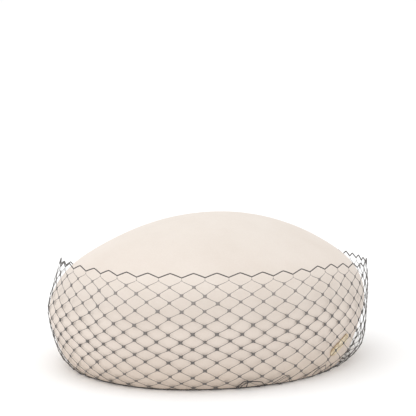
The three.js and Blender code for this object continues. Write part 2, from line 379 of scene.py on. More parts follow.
class Workbench:
    """Short forms of the modelling operators."""

    @staticmethod
    def clear_selection() -> None:
        """Select nothing."""
        bpy.ops.object.select_all(action="DESELECT")

    @staticmethod
    def name_new(name: str) -> bpy.types.Object:
        """Name the piece that was just made.

        Args:
            name: The name of the piece and of its mesh.

        Returns:
            The piece.
        """
        made = bpy.context.object
        made.name = name
        made.data.name = name
        return made

    @staticmethod
    def activate(piece: bpy.types.Object) -> None:
        """Select one piece alone.

        Args:
            piece: The piece, which becomes the active one.
        """
        Workbench.clear_selection()
        piece.select_set(True)
        bpy.context.view_layer.objects.active = piece

    @staticmethod
    def edit(select: str = "SELECT") -> None:
        """Enter edit mode with all or nothing selected."""
        bpy.ops.object.mode_set(mode="EDIT")
        bpy.ops.mesh.select_all(action=select)

    @staticmethod
    def done() -> None:
        """Leave edit mode."""
        bpy.ops.object.mode_set(mode="OBJECT")

    @staticmethod
    def tree(places: Sequence[Point]) -> KDTree:
        """Prepare a search for the nearest of some places.

        Args:
            places: The places.

        Returns:
            The search tree.
        """
        made = KDTree(len(places))
        for index, place in enumerate(places):
            made.insert(place, index)
        made.balance()
        return made

    @staticmethod
    def path(name: str, points: Sequence[Point]) -> bpy.types.Object:
        """Open a circle of vertices into a wire through the given points.

        Args:
            name: The wire's name.
            points: Three points or more.

        Returns:
            The wire.
        """
        Workbench.clear_selection()
        bpy.ops.mesh.primitive_circle_add(vertices=len(points), radius=1.0)
        wire = Workbench.name_new(name)
        Workbench.settle(wire)
        Workbench.edit("DESELECT")
        mesh = bmesh.from_edit_mesh(wire.data)
        for edge in mesh.edges:
            edge.select_set({end.index for end in edge.verts} == {0, len(points) - 1})
        bmesh.update_edit_mesh(wire.data)
        bpy.ops.mesh.delete(type="EDGE")
        Workbench.done()
        for vertex, point in zip(wire.data.vertices, points, strict=True):
            vertex.co = point
        return wire

    @staticmethod
    def join(pieces: Sequence[bpy.types.Object], name: str) -> bpy.types.Object:
        """Join pieces into one.

        Args:
            pieces: The pieces.
            name: The joined piece's name.

        Returns:
            The joined piece.
        """
        Workbench.clear_selection()
        for piece in pieces:
            piece.select_set(True)
        bpy.context.view_layer.objects.active = pieces[0]
        bpy.ops.object.join()
        return Workbench.name_new(name)

    @staticmethod
    def keep_above(piece: bpy.types.Object, height: float) -> None:
        """Raise a piece's vertices that lie below a height up to it."""
        for vertex in piece.data.vertices:
            vertex.co.z = max(vertex.co.z, height)

    @staticmethod
    def apply_modifiers(piece: bpy.types.Object) -> None:
        """Apply every modifier of a piece in its order.

        Args:
            piece: The piece.
        """
        Workbench.activate(piece)
        for modifier in list(piece.modifiers):
            bpy.ops.object.modifier_apply(modifier=modifier.name)

    @staticmethod
    def settle(piece: bpy.types.Object) -> None:
        """Put a piece's place, turn and scale into its mesh."""
        Workbench.activate(piece)
        bpy.ops.object.transform_apply(location=True, rotation=True, scale=True)

    @staticmethod
    def wrap(piece: bpy.types.Object, place: Callable[[Vector], Point]) -> None:
        """Move each vertex of a piece to its place on the hat.

        Args:
            piece: The piece.
            place: Gives a vertex's new place from its old one.
        """
        for vertex in piece.data.vertices:
            vertex.co = place(vertex.co)
        piece.data.update()

    @staticmethod
    def weld(piece: bpy.types.Object, distance: float) -> None:
        """Join the vertices that lie close to each other.

        Args:
            piece: The piece.
            distance: How far apart they may be, in metres.
        """
        Workbench.activate(piece)
        Workbench.edit()
        bpy.ops.mesh.remove_doubles(threshold=distance)
        Workbench.done()

    @staticmethod
    def thread(
        piece: bpy.types.Object,
        radius: float,
        sides: int = 6,
        swell: Callable[[Vector], float] = lambda place: 1.0,
    ) -> bpy.types.Object:
        """Turn a wire mesh into round thread.

        Args:
            piece: The wire mesh.
            radius: The thread's radius, in metres.
            sides: How many sides the thread has, 4 or more and even.
            swell: Gives the share of the radius at a place.

        Returns:
            The thread, as a mesh.
        """
        Workbench.activate(piece)
        bpy.ops.object.convert(target="CURVE")
        curve = bpy.context.object
        for spline in curve.data.splines:
            for point in spline.points:
                point.radius = swell(point.co.xyz)
        curve.data.dimensions = "3D"
        curve.data.bevel_depth = radius
        curve.data.bevel_resolution = sides // 2 - 2
        curve.data.use_fill_caps = True
        bpy.ops.object.convert(target="MESH")
        return bpy.context.object


def dress(piece: bpy.types.Object, slot: Slot, material: bpy.types.Material, node: Node) -> None:
    """Give a piece its finish and tie it to the frame.

    Args:
        piece: The finished piece.
        slot: Not used.
        material: Its material.
        node: The frame's node that it stands for.
    """
    piece.data.materials.clear()
    piece.data.materials.append(material)
    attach(piece, BODY)
    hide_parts(node.value)
    LOG.info("%s: %d faces", piece.name, len(piece.data.polygons))


def spline_row(rows: Sequence[Sequence[float]], count: int) -> np.ndarray:
    """Run a Catmull-Rom curve through rows of numbers.

    Args:
        rows: The rows that it passes through.
        count: How many steps it is cut into.

    Returns:
        The points on the curve, one more than its steps.
    """
    given = np.array(rows, float)
    at = np.linspace(0.0, len(given) - 1.0, count + 1)
    first = np.minimum(at.astype(int), len(given) - 2)
    part = (at - first)[:, None]
    before = given[np.maximum(first - 1, 0)]
    start, end = given[first], given[first + 1]
    after = given[np.minimum(first + 2, len(given) - 1)]
    leave, arrive = (end - before) / 2, (after - start) / 2
    cubic = (2 * start - 2 * end + leave + arrive) * part**3
    square = (3 * end - 3 * start - 2 * leave - arrive) * part**2
    return cubic + square + leave * part + start


def blend_rows(rows: Sequence[Sequence[float]], angle: float) -> tuple[float, ...]:
    """Blend a table's rows smoothly at a plan angle.

    Args:
        rows: The rows, whose first numbers are rising plan angles in degrees.
        angle: The plan angle, in radians.

    Returns:
        The other numbers at that angle.
    """
    turn = (math.degrees(angle) - rows[0][0]) % 360
    starts = [row[0] - rows[0][0] for row in rows] + [360]
    here = max(index for index in range(len(rows)) if starts[index] <= turn)
    part = (turn - starts[here]) / (starts[here + 1] - starts[here])
    blend = (1 - math.cos(math.pi * part)) / 2
    pairs = zip(rows[here][1:], rows[(here + 1) % len(rows)][1:], strict=True)
    return tuple(first * (1 - blend) + second * blend for first, second in pairs)


@dataclass
class Oval:
    """The hat's oval, taken from the frame."""

    sunk: float = 0.7 * MM
    half_width: float = field(init=False)
    half_length: float = field(init=False)
    rim: float = field(init=False)
    height: float = field(init=False)

    def __post_init__(self) -> None:
        """Read the crown's box, and let the felt down to the threads that it stands on."""
        low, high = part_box(Node.CROWN.value)
        self.half_width = (high[0] - low[0]) / 2
        self.half_length = (high[1] - low[1]) / 2
        self.rim = low[2] - self.sunk
        self.height = high[2] - self.rim

    def scale(self, angle: float) -> float:
        """Give the metres for one unit of reach, square to the oval's edge."""
        return 1 / math.hypot(math.cos(angle) / self.half_width, math.sin(angle) / self.half_length)

    def place(self, angle: float, out: float, height: float) -> Point:
        """Give a point round the hat.

        Args:
            angle: Its plan angle, in radians from +X towards the back.
            out: Its distance from the middle, square to the oval's edge, in metres.
            height: Its height, in metres.

        Returns:
            The point.
        """
        reach = out / self.scale(angle)
        return (
            self.half_width * reach * math.cos(angle),
            self.half_length * reach * math.sin(angle),
            height,
        )


# The crown's section from its rolled-under edge to its apex: share of height, share of the oval.
CROWN_SECTION = (
    (0.0, 0.858),
    (0.04, 0.885),
    (0.1, 0.922),
    (0.22, 0.966),
    (0.37, 1.0),
    (0.52, 0.977),
    (0.66, 0.882),
    (0.79, 0.706),
    (0.9, 0.494),
    (0.97, 0.272),
    (1.0, 0.0),
)


# How far the felt's edge flares from its section: plan angle in degrees, share of the oval.
CROWN_FLARE = (
    (-42, -0.006),
    (3, 0.03),
    (48, 0.012),
    (93, 0.03),
    (138, 0.0),
    (238, 0.0),
    (273, -0.015),
)


@dataclass
class Crown:
    """The blocked felt shell."""

    oval: Oval
    wall: float = 2.4 * MM
    drift_across: float = 2.6 * MM
    drift_back: float = 4.7 * MM
    drift_start: float = 0.3
    around: int = 160
    rings: int = 56
    unevenness: float = 0.5 * MM
    unevenness_size: float = 45 * MM
    flare_height: float = 0.25
    drift_power: float = 1.2
    cut_edge: float = 0.7 * MM
    cut_angle: float = 50.0
    smooth_angle: float = 60.0
    fine_steps: int = 400
    line: np.ndarray = field(init=False)
    finish: FeltFinish = field(default_factory=FeltFinish)

    def __post_init__(self) -> None:
        """Work out the section once, finely."""
        self.line = self.section(self.fine_steps)

    def section(self, count: int) -> np.ndarray:
        """Give the felt's section from the rim to the apex.

        Args:
            count: How many steps it is cut into.

        Returns:
            Rows of reach, as a share of the oval, and share of the height.
        """
        falling = [(-reach, height) for height, reach in CROWN_SECTION[-2::-1]]
        rising = [(reach, height) for height, reach in CROWN_SECTION]
        arch = spline_row(rising + falling, 2 * count)
        return arch[: count + 1]

    def reach_at(self, height: float, angle: float) -> float:
        """Give the felt's reach at a share of its height and a plan angle."""
        return float(np.interp(height, self.line[:, 1], self.line[:, 0])) + self.flare(height, angle)

    def flare(self, height: float, angle: float) -> float:
        """Give what the flared edge adds to the reach."""
        fade = max(0.0, 1 - height / self.flare_height) ** 2
        return blend_rows(CROWN_FLARE, angle)[0] * fade

    def lean(self, height: float) -> Vector:
        """Give how far the felt has drifted towards its apex at a share of its height."""
        share = max(0.0, (height - self.drift_start) / (1 - self.drift_start)) ** self.drift_power
        return Vector((self.drift_across, self.drift_back, 0.0)) * share

    def shell(self) -> bpy.types.Object:
        """Raise the felt from its rim, ring by ring, and close it at the apex.

        Returns:
            The felt, without its thickness.
        """
        line = self.section(self.rings)
        reach, share = float(line[0][0]), float(line[0][1])
        foot = (0.0, 0.0, self.oval.rim)
        Workbench.clear_selection()
        bpy.ops.mesh.primitive_circle_add(vertices=self.around, radius=1.0, location=foot)
        shell = Workbench.name_new("felt_crown")
        Workbench.settle(shell)
        Workbench.edit()
        size = (self.oval.half_width * reach, self.oval.half_length * reach, 1.0)
        bpy.ops.transform.resize(value=size, center_override=foot)
        for next_reach, next_share in line[1:-1]:
            centre = self.lean(share) + Vector((0.0, 0.0, self.oval.rim + share * self.oval.height))
            step = self.lean(next_share) - self.lean(share)
            step.z = (next_share - share) * self.oval.height
            ratio = next_reach / reach
            bpy.ops.mesh.extrude_region_move()
            bpy.ops.transform.resize(value=(ratio, ratio, 1.0), center_override=centre)
            bpy.ops.transform.translate(value=step)
            reach, share = float(next_reach), float(next_share)
        bpy.ops.mesh.extrude_region_move()
        bpy.ops.mesh.merge(type="CENTER")
        bpy.ops.transform.translate(value=(0.0, 0.0, (1.0 - share) * self.oval.height))
        bpy.ops.mesh.select_all(action="SELECT")
        bpy.ops.mesh.normals_make_consistent(inside=False)
        Workbench.done()
        Workbench.wrap(shell, self.flared)
        return shell

    def flared(self, place: Vector) -> Point:
        """Move a point of the shell out by the flare of its edge.

        Args:
            place: The point.

        Returns:
            Its new place.
        """
        angle = math.atan2(place.y / self.oval.half_length, place.x / self.oval.half_width)
        out = self.flare((place.z - self.oval.rim) / self.oval.height, angle)
        across = self.oval.half_width * out * math.cos(angle)
        return (place.x + across, place.y + self.oval.half_length * out * math.sin(angle), place.z)

    def soften(self, shell: bpy.types.Object) -> None:
        """Give the felt a hand-blocked unevenness, its thickness and a soft cut edge.

        Args:
            shell: The felt.
        """
        lumps = bpy.data.textures.new("felt_lumps", "CLOUDS")
        lumps.noise_scale = self.unevenness_size
        uneven = shell.modifiers.new("unevenness", "DISPLACE")
        uneven.texture = lumps
        uneven.texture_coords = "LOCAL"
        uneven.strength = self.unevenness
        uneven.mid_level = 0.5
        wall = shell.modifiers.new("wall", "SOLIDIFY")
        wall.thickness = self.wall
        wall.offset = -1.0
        wall.use_even_offset = True
        edge = shell.modifiers.new("cut_edge", "BEVEL")
        edge.width = self.cut_edge
        edge.segments = 2
        edge.limit_method = "ANGLE"
        edge.angle_limit = math.radians(self.cut_angle)
        Workbench.apply_modifiers(shell)
        bpy.ops.object.shade_smooth_by_angle(angle=math.radians(self.smooth_angle))

    def build(self) -> None:
        """Build and dress the crown."""
        shell = self.shell()
        self.soften(shell)
        dress(shell, Slot.FELT, self.finish.material(), Node.CROWN)


# How the net stands round the hat: plan angle in degrees from +X towards the back, how far it is
# clear of the felt near the rim and at the belly, its top edge's reach, that edge's height as a
# share of the felt's, and how far its fold stands out. All but the height are shares of the oval.
NET_STANCE = (
    (-42, 0.02, 0.007, 0.97, 0.767, 0.0),
    (3, 0.03, 0.008, 0.995, 0.745, 0.0),
    (48, 0.068, 0.023, 1.02, 0.648, 0.035),
    (60, 0.062, 0.02, 1.008, 0.622, 0.03),
    (74, 0.053, 0.016, 0.995, 0.614, 0.026),
    (93, 0.045, 0.012, 0.975, 0.6, 0.02),
    (138, 0.03, 0.009, 0.965, 0.615, 0.0),
    (183, 0.02, 0.004, 0.96, 0.595, 0.005),
    (206, 0.024, 0.001, 0.955, 0.59, 0.01),
    (224, 0.02, 0.0, 0.94, 0.64, 0.008),
    (239, 0.014, 0.0, 0.925, 0.716, 0.005),
    (273, 0.01, 0.006, 0.94, 0.752, 0.0),
)


@dataclass
class Drape:
    """The surface that the netting lies in: down the wall, under the rim and up inside."""

    oval: Oval
    crown: Crown
    clear: float = 0.3 * MM
    under: float = 0.3 * MM
    rim_width: float = 3.0 * MM
    turn_up: float = 8.0 * MM
    low_height: float = 0.11
    belly_height: float = 0.37
    shoulder_lift: float = 0.02
    shoulder_belly: float = 0.45
    fullness: float = 0.008
    run_on: float = 24.0 * MM
    angles: int = 360
    steps: int = 120
    edge_points: int = 721
    lines: list[np.ndarray] = field(init=False, default_factory=list)
    lengths: list[np.ndarray] = field(init=False, default_factory=list)
    turns: np.ndarray = field(init=False)
    arcs: np.ndarray = field(init=False)

    def __post_init__(self) -> None:
        """Work out the section at each of many plan angles, and the top edge's length."""
        for i in range(self.angles):
            line = self.section(2 * math.pi * i / self.angles)
            step = np.linalg.norm(np.diff(line, axis=0), axis=1)
            self.lines.append(line)
            self.lengths.append(np.concatenate([[0.0], np.cumsum(step)]))
        self.turns = np.linspace(-math.pi, math.pi, self.edge_points)
        edge = np.array([self.point(turn, 0.0) for turn in self.turns])
        around = np.linalg.norm(np.diff(edge, axis=0), axis=1)
        self.arcs = np.concatenate([[0.0], np.cumsum(around)])
        self.arcs /= self.arcs[-1]

    def section(self, angle: float) -> np.ndarray:
        """Give the drape's section, from the top edge down, under the rim and up inside.

        Args:
            angle: The plan angle, in radians.

        Returns:
            Rows of distance out and height, in metres, which run on past the net's own edge.
        """
        scale, rim, tall = self.oval.scale(angle), self.oval.rim, self.oval.height
        low, belly, reach, top, fold_out = blend_rows(NET_STANCE, angle)
        low += self.crown.reach_at(self.low_height, angle)
        belly += self.crown.reach_at(self.belly_height, angle)
        outer = self.crown.reach_at(0.0, angle) * scale
        inner = outer - self.rim_width - self.clear
        middle = (self.belly_height + top) / 2 + self.shoulder_lift
        shoulder = self.shoulder_belly * belly + (1 - self.shoulder_belly) * reach + self.fullness
        wall = spline_row(
            [
                (reach * scale, rim + top * tall),
                (shoulder * scale, rim + middle * tall),
                (belly * scale + self.clear, rim + self.belly_height * tall),
                (low * scale + self.clear, rim + self.low_height * tall),
                (outer + fold_out * scale + self.clear, self.under),
            ],
            self.steps,
        )
        fold = [(inner, self.under), (inner, rim + self.turn_up), (inner, rim + self.run_on)]
        return np.vstack([wall, fold])

    def wall_length(self, angle: float) -> float:
        """Give the wall's length from the top edge to the outer fold at a plan angle."""
        return float(self.lengths[round(math.degrees(angle)) % self.angles][self.steps])

    def net_length(self, angle: float) -> float:
        """Give the net's whole length at a plan angle, with what is turned under and up inside."""
        return self.wall_length(angle) + self.rim_width + self.turn_up

    def point(self, angle: float, down: float) -> Point:
        """Give a point of the drape.

        Args:
            angle: Its plan angle, in radians.
            down: Its distance down from the top edge's valleys, in metres, less than 0 above them.

        Returns:
            The point.
        """
        turn = (angle / (2 * math.pi) * self.angles) % self.angles
        first = int(turn) % self.angles
        blend = turn - int(turn)
        found = np.zeros(2)
        for row, weight in ((first, 1 - blend), ((first + 1) % self.angles, blend)):
            line, length = self.lines[row], self.lengths[row]
            if down < 0:
                rise = (line[0] - line[1]) / length[1]
                here = line[0] + rise * -down
            else:
                here = np.array([np.interp(down, length, line[:, k]) for k in range(2)])
            found += weight * here
        return self.oval.place(angle, float(found[0]), float(found[1]))

    def turn_at(self, share: float) -> float:
        """Give the plan angle at a share of the top edge's length, counted from the -X side."""
        return float(np.interp(share % 1.0, self.arcs, self.turns))


# Where the netting is gathered under the rim: plan angle in degrees, strength and width in degrees.
TUCKS = (
    (-4, 0.35, 10),
    (12, 0.3, 8),
    (-98, 0.5, 12),
    (150, 0.4, 14),
)


# Where the net's columns are pushed along its edge: plan angle in degrees and number of columns.
COLUMN_SHIFT = (
    (238, 0.0),
    (252, 0.14),
    (264, 0.22),
    (273, 0.2),
    (283, 0.06),
    (293, 0.0),
    (318, 0.0),
    (350, 0.1),
    (362, 0.08),
    (378, 0.0),
    (412, 0.0),
    (465, -1.4),
)


# How the net's columns lean: plan angle in degrees, then how many degrees to the right of their
# place at the top edge, seen from outside, they stand at each share but the first in LEAN_SHARES.
NET_LEAN = (
    (236, 0.0, 0.0, 0.0, 0.0),
    (254, 1.6, 2.2, -1.2, -4.0),
    (270, 1.3, 1.6, -1.7, -3.2),
    (282, 0.9, 1.3, -1.2, -3.6),
    (291, 0.7, 1.0, -0.8, -3.2),
    (300, 0.3, 0.6, -0.8, -2.1),
    (310, 0.0, 0.1, -0.6, -1.1),
    (325, 0.0, 0.0, 0.0, -0.1),
    (336, 0.0, 0.1, 0.2, 0.4),
    (345, 0.0, 0.2, 0.7, 0.6),
    (355, 0.8, 1.7, 2.0, 1.7),
    (367, 1.9, 3.3, 3.9, 4.2),
    (383, 2.2, 4.9, 6.4, 6.4),
    (402, 1.2, 3.0, 4.2, 4.4),
    (430, 0.4, 1.2, 2.0, 2.0),
    (460, 0.0, 0.0, 0.0, 0.0),
)


# How far the net hangs below its place at the same shares: plan angle in degrees, millimetres.
NET_SAG = (
    (240, 0.0, 0.0, 0.0, 0.0),
    (256, 0.0, -0.6, -1.2, -1.0),
    (272, 0.0, -0.5, -1.2, -0.8),
    (284, 0.0, -0.2, -1.1, -0.7),
    (294, 0.3, 0.0, -0.8, -0.6),
    (308, 0.5, 0.4, -0.3, -0.3),
    (322, 0.6, 0.6, 0.0, 0.0),
    (336, 0.3, 0.3, -0.4, 0.0),
    (355, 0.5, 0.5, 0.2, 0.0),
    (370, 0.5, 0.5, 0.4, 0.0),
    (400, 0.0, 0.0, 0.0, 0.0),
)


# The shares of the wall's length, from the top edge down, at which the two tables above hold.
LEAN_SHARES = (0.0, 0.2, 0.45, 0.75, 1.0)


# Loose loops and pulled strands along the rim: the thread's radius in millimetres, then points
# by plan angle in degrees, millimetres up the wall from the rim, and millimetres out from it.
STRAY_ENDS = (
    (0.3, ((333.6, 1.8, 0.2), (334.6, 5.0, 0.3), (335.6, 7.2, 0.3), (336.6, 7.6, 0.3), (337.4, 7.0, 0.3))),
    (0.22, ((335.1, 1.2, 0.2), (335.7, 3.6, 0.3), (336.4, 5.6, 0.3), (337.3, 6.9, 0.3))),
    (0.26, ((337.3, 6.9, 0.2), (337.3, 4.2, 0.4), (337.5, 1.2, 0.2))),
    (0.28, ((337.4, 7.0, 0.3), (340.6, 6.4, 0.4), (342.8, 5.2, 0.4), (344.2, 2.4, 0.5), (345.8, 1.7, 0.5))),
    (0.15, ((347.8, 1.4, 0.3), (349.4, 4.8, 0.4), (351.0, 7.4, 0.4), (352.2, 8.3, 0.4), (353.6, 7.5, 0.4))),
    (0.12, ((349.6, 1.8, 0.3), (351.2, 5.0, 0.3), (352.4, 6.8, 0.3), (353.6, 7.5, 0.4))),
    (0.2, ((353.6, 7.5, 0.4), (354.6, 5.2, 0.4), (355.2, 2.4, 0.4), (355.8, 0.8, 0.8))),
    (0.12, ((361.7, 1.8, 0.4), (363.8, 5.4, 0.4), (366.0, 9.2, 0.3))),
    (0.18, ((366.6, 2.4, 0.4), (367.2, 6.4, 0.4), (369.0, 8.2, 0.4), (371.1, 9.4, 0.3))),
    (0.13, ((371.1, 9.4, 0.3), (372.4, 6.0, 0.4), (374.2, 1.8, 0.4))),
)


@dataclass
class Veil:
    """The band of diamond netting with its top cord, its knots and its turned-under edge."""

    oval: Oval
    drape: Drape
    columns: int = 44
    pitch: float = 13.25 * MM
    rows: int = 10
    first_drop: float = 1.7 * MM
    second_drop: float = 5.2 * MM
    level_drop: float = 4.535 * MM
    low_level: int = 11
    low_stretch: float = 0.5 * MM
    tie: float = 0.45
    tooth: float = 2.64 * MM
    tooth_dip: float = 0.05
    tooth_tip: float = 0.1
    thread_radius: float = 0.13 * MM
    cord_radius: float = 0.33 * MM
    bow: float = 0.32
    strand_cuts: int = 3
    ring_cuts: int = 8
    weld_gap: float = 0.02 * MM
    first_peak: float = -42.8
    gather_height: float = 22 * MM
    knot_arm: tuple[float, float] = (2.0 * MM, 1.7 * MM)
    knot_waist: tuple[float, float] = (0.95 * MM, 0.8 * MM)
    knot_depth: float = 0.32 * MM
    knot_corner: float = 0.1
    knot_spread: float = 0.12
    knot_sizes: tuple[float, ...] = (0.32, 0.9, 1.0)
    side_step: float = 0.01
    down_step: float = 0.5 * MM
    thicker: float = 0.9
    thicker_within: float = 1.1 * MM
    thinner: float = 0.5
    thinner_within: float = 1.3 * MM
    seed: int = 7
    wobble: float = 0.22 * MM
    edge_wobble: float = 0.3
    hem_radius: float = 0.12 * MM
    hem_drop: float = 1.3 * MM
    hem_sway: float = 0.25 * MM
    hem_waves: int = 61
    hem_phase: float = 1.3
    stray_cuts: int = 6
    stray_clear: float = 0.25 * MM
    lowest: float = 0.03 * MM
    # Each finish below carries painted light higher up and painted shade towards the picture's two sides,
    # the knots most of all.
    netting: ThreadFinish = ThreadFinish(
        "net_thread", (0.096, 0.086, 0.080), (0.210, 0.190, 0.178), painted_light_ratio=2.0, painted_side_shade=0.85
    )
    knotting: ThreadFinish = ThreadFinish(
        "net_knot", (0.230, 0.209, 0.192), (0.390, 0.356, 0.330), painted_light_ratio=2.3, painted_side_shade=0.42
    )
    cording: ThreadFinish = ThreadFinish(
        "net_cord", (0.033, 0.029, 0.027), (0.080, 0.072, 0.068), painted_light_ratio=2.0
    )
    phase: float = field(init=False)
    chance: random.Random = field(init=False)
    nudges: dict[tuple[int, int], tuple[float, float]] = field(init=False, default_factory=dict)

    def __post_init__(self) -> None:
        """Find the share of the edge at which a peak stands, and seed the wobble."""
        angle = math.radians(self.first_peak)
        self.phase = float(np.interp(angle, self.drape.turns, self.drape.arcs))
        self.chance = random.Random(self.seed)

    def column_at(self, flat: Vector) -> float:
        """Give how many columns from the first peak a vertex of the flat lattice lies."""
        return flat.x + self.columns / 2 + 0.5

    def level_at(self, flat: Vector) -> float:
        """Give the level of knots at which a vertex of the flat lattice lies."""
        return self.rows - 2 * flat.y

    def turn(self, column: float) -> float:
        """Give the plan angle of a column.

        Args:
            column: How many columns it lies from the first peak.

        Returns:
            The plan angle, in radians.
        """
        share = self.phase + column / self.columns
        push = blend_rows(COLUMN_SHIFT, self.drape.turn_at(share))[0]
        return self.drape.turn_at(share + push / self.columns)

    def down(self, level: float) -> float:
        """Give the distance of a level of knots below the edge's valleys.

        Args:
            level: The level, counted from the top knots, less than 0 on the ties above them.

        Returns:
            The distance, in metres.
        """
        if level < 0:
            return self.first_drop * (1 + level)
        if level < 1:
            return self.first_drop + (self.second_drop - self.first_drop) * level
        stretch = max(0.0, level - self.low_level) * self.low_stretch
        return self.second_drop + (level - 1) * self.level_drop + stretch

    def nudge(self, column: float, level: float) -> tuple[float, float]:
        """Give the small shift of the knot nearest to a place, the same each time it is asked.

        Args:
            column: The place's column.
            level: Its level.

        Returns:
            The shift along the level and down, in metres.
        """
        key = (round(2 * column) % (2 * self.columns), round(level))
        if key not in self.nudges:
            spread = self.wobble if key[1] > 0 else self.edge_wobble * self.wobble
            self.nudges[key] = (self.chance.gauss(0, spread), self.chance.gauss(0, spread))
        return self.nudges[key]

    def gather(self, angle: float, down: float) -> float:
        """Lean a plan angle with its column and pull it towards the tucks under the rim.

        Args:
            angle: The plan angle at the top edge, in radians.
            down: The distance down from the top edge, in metres.

        Returns:
            The plan angle at that distance down.
        """
        length = self.drape.wall_length(angle)
        near_rim = max(0.0, 1 - (length - down) / self.gather_height)
        near_rim = min(near_rim, 1.0) ** 2
        pulled = angle + math.radians(self.read_shift(NET_LEAN, angle, down / length))
        for middle, strength, width in TUCKS:
            away = (math.degrees(angle) - middle + 180) % 360 - 180
            pulled -= math.radians(away) * strength * near_rim * math.exp(-((away / width) ** 2))
        return pulled

    @staticmethod
    def read_shift(rows: Sequence[Sequence[float]], angle: float, share: float) -> float:
        """Read a table of shifts at a plan angle and a share of the wall's length."""
        return float(np.interp(share, LEAN_SHARES, (0.0, *blend_rows(rows, angle))))

    def hang(self, angle: float, down: float) -> Point:
        """Give the place on the hat of a point of the net, with its lean, its tuck and its sag."""
        sag = self.read_shift(NET_SAG, angle, down / self.drape.wall_length(angle)) * MM
        return self.drape.point(self.gather(angle, down), down + sag)

    def strand_point(self, flat: Vector) -> Point:
        """Put a vertex of the flat lattice on the hat, bowed between its two knots.

        Args:
            flat: The vertex's place in the flat lattice.

        Returns:
            Its place on the hat.
        """
        level, column = self.level_at(flat), self.column_at(flat)
        top = math.floor(level + SAME)
        part = level - top
        across, along = self._strand_shift(column, level, top, part)
        drop = self.down(level) + along
        angle = self.turn(column + across / self.pitch)
        return self.hang(angle, drop)

    def _strand_shift(self, column: float, level: float, top: int, part: float) -> tuple[float, float]:
        """Blend the nudges of a strand's two knots and add its bow.

        Args:
            column: The column of a place on the strand.
            level: The place's level.
            top: The level of the strand's upper knot.
            part: How far down the strand the place lies, from 0 to 1.

        Returns:
            The shift along the level and down, in metres.
        """
        if part < SAME or level < 0:
            return self.nudge(column, max(level, 0.0))
        step = 1 if self._leans_right(column, top, part) else -1
        start, end = column - step * part / 2, column + step * (1 - part) / 2
        first, last = self.nudge(start, top), self.nudge(end, top + 1)
        bow = -step * self.bow * math.sin(2 * math.pi * part) / (2 * math.pi) * self.pitch / 2
        across = first[0] * (1 - part) + last[0] * part + bow
        return across, first[1] * (1 - part) + last[1] * part

    def _leans_right(self, column: float, top: int, part: float) -> bool:
        """Tell whether the strand at a place goes down to the right, seen from outside.

        Args:
            column: The place's column.
            top: The level of the strand's upper knot.
            part: How far down the strand the place lies, from 0 to 1.

        Returns:
            True where it does.
        """
        start = 2 * (column - part / 2)
        parity = (round(start) + top) % 2
        return abs(start - round(start)) < SAME and parity == 1

    def lattice(self) -> bpy.types.Object:
        """Lay the net out flat as wires, then wrap it round the hat.

        Returns:
            The net's wires.
        """
        Workbench.clear_selection()
        bpy.ops.mesh.primitive_grid_add(x_subdivisions=self.columns, y_subdivisions=self.rows, size=1.0)
        net = Workbench.name_new("net_threads")
        Workbench.edit()
        bpy.ops.transform.resize(value=(self.columns, self.rows, 1.0), center_override=(0.0, 0.0, 0.0))
        bpy.ops.mesh.poke()
        self._drop_grid_edges(net)
        self._tie_to_edge(net)
        bpy.ops.mesh.select_all(action="SELECT")
        bpy.ops.mesh.subdivide(number_cuts=self.strand_cuts)
        Workbench.done()
        self._cut_to_length(net)
        Workbench.wrap(net, self.strand_point)
        Workbench.weld(net, self.weld_gap)
        return net

    @staticmethod
    def _drop_grid_edges(net: bpy.types.Object) -> None:
        """Leave only the crossing edges, which make diamonds.

        Args:
            net: The flat grid, in edit mode.
        """
        mesh = bmesh.from_edit_mesh(net.data)
        for edge in mesh.edges:
            span = edge.verts[0].co - edge.verts[1].co
            edge.select_set(abs(span.x) < SAME or abs(span.y) < SAME)
        bmesh.update_edit_mesh(net.data)
        bpy.ops.mesh.delete(type="EDGE")

    def _tie_to_edge(self, net: bpy.types.Object) -> None:
        """Run a short tie from each top knot up to the edge cord.

        Args:
            net: The flat lattice, in edit mode.
        """
        bpy.ops.mesh.select_all(action="DESELECT")
        bpy.ops.mesh.select_mode(type="VERT")
        mesh = bmesh.from_edit_mesh(net.data)
        for vertex in mesh.verts:
            vertex.select_set(vertex.co.y > self.rows / 2 - SAME)
        bmesh.update_edit_mesh(net.data)
        bpy.ops.mesh.extrude_vertices_move()
        bpy.ops.transform.translate(value=(0.0, self.tie, 0.0))

    def _cut_to_length(self, net: bpy.types.Object) -> None:
        """Cut off what would stand above the net's turned-up edge inside the hat.

        Args:
            net: The flat lattice.
        """
        Workbench.edit("DESELECT")
        mesh = bmesh.from_edit_mesh(net.data)
        for vertex in mesh.verts:
            most = self.drape.net_length(self.turn(self.column_at(vertex.co)))
            vertex.select_set(self.down(self.level_at(vertex.co)) > most)
        bmesh.update_edit_mesh(net.data)
        bpy.ops.mesh.delete(type="VERT")
        Workbench.done()

    def knot_places(self) -> list[tuple[Point, Vector, Vector]]:
        """Find where the knots are.

        Returns:
            Each knot's place, then the direction along its level and the one down the net, both as
            long as the knot's share of the full size.
        """
        places = []
        for level in range(2 * self.rows + 1):
            size = self.knot_sizes[min(level, len(self.knot_sizes) - 1)]
            for column in range(self.columns):
                at = column + (0.0 if level % 2 else 0.5)
                across, along = self.nudge(at, level)
                angle = self.turn(at + across / self.pitch)
                drop = self.down(level) + along
                if drop > self.drape.net_length(angle):
                    continue
                here = Vector(self.hang(angle, drop))
                side = Vector(self.hang(angle + self.side_step, drop)) - here
                below = Vector(self.hang(angle, drop + self.down_step)) - here
                places.append((tuple(here), size * side.normalized(), size * below.normalized()))
        return places

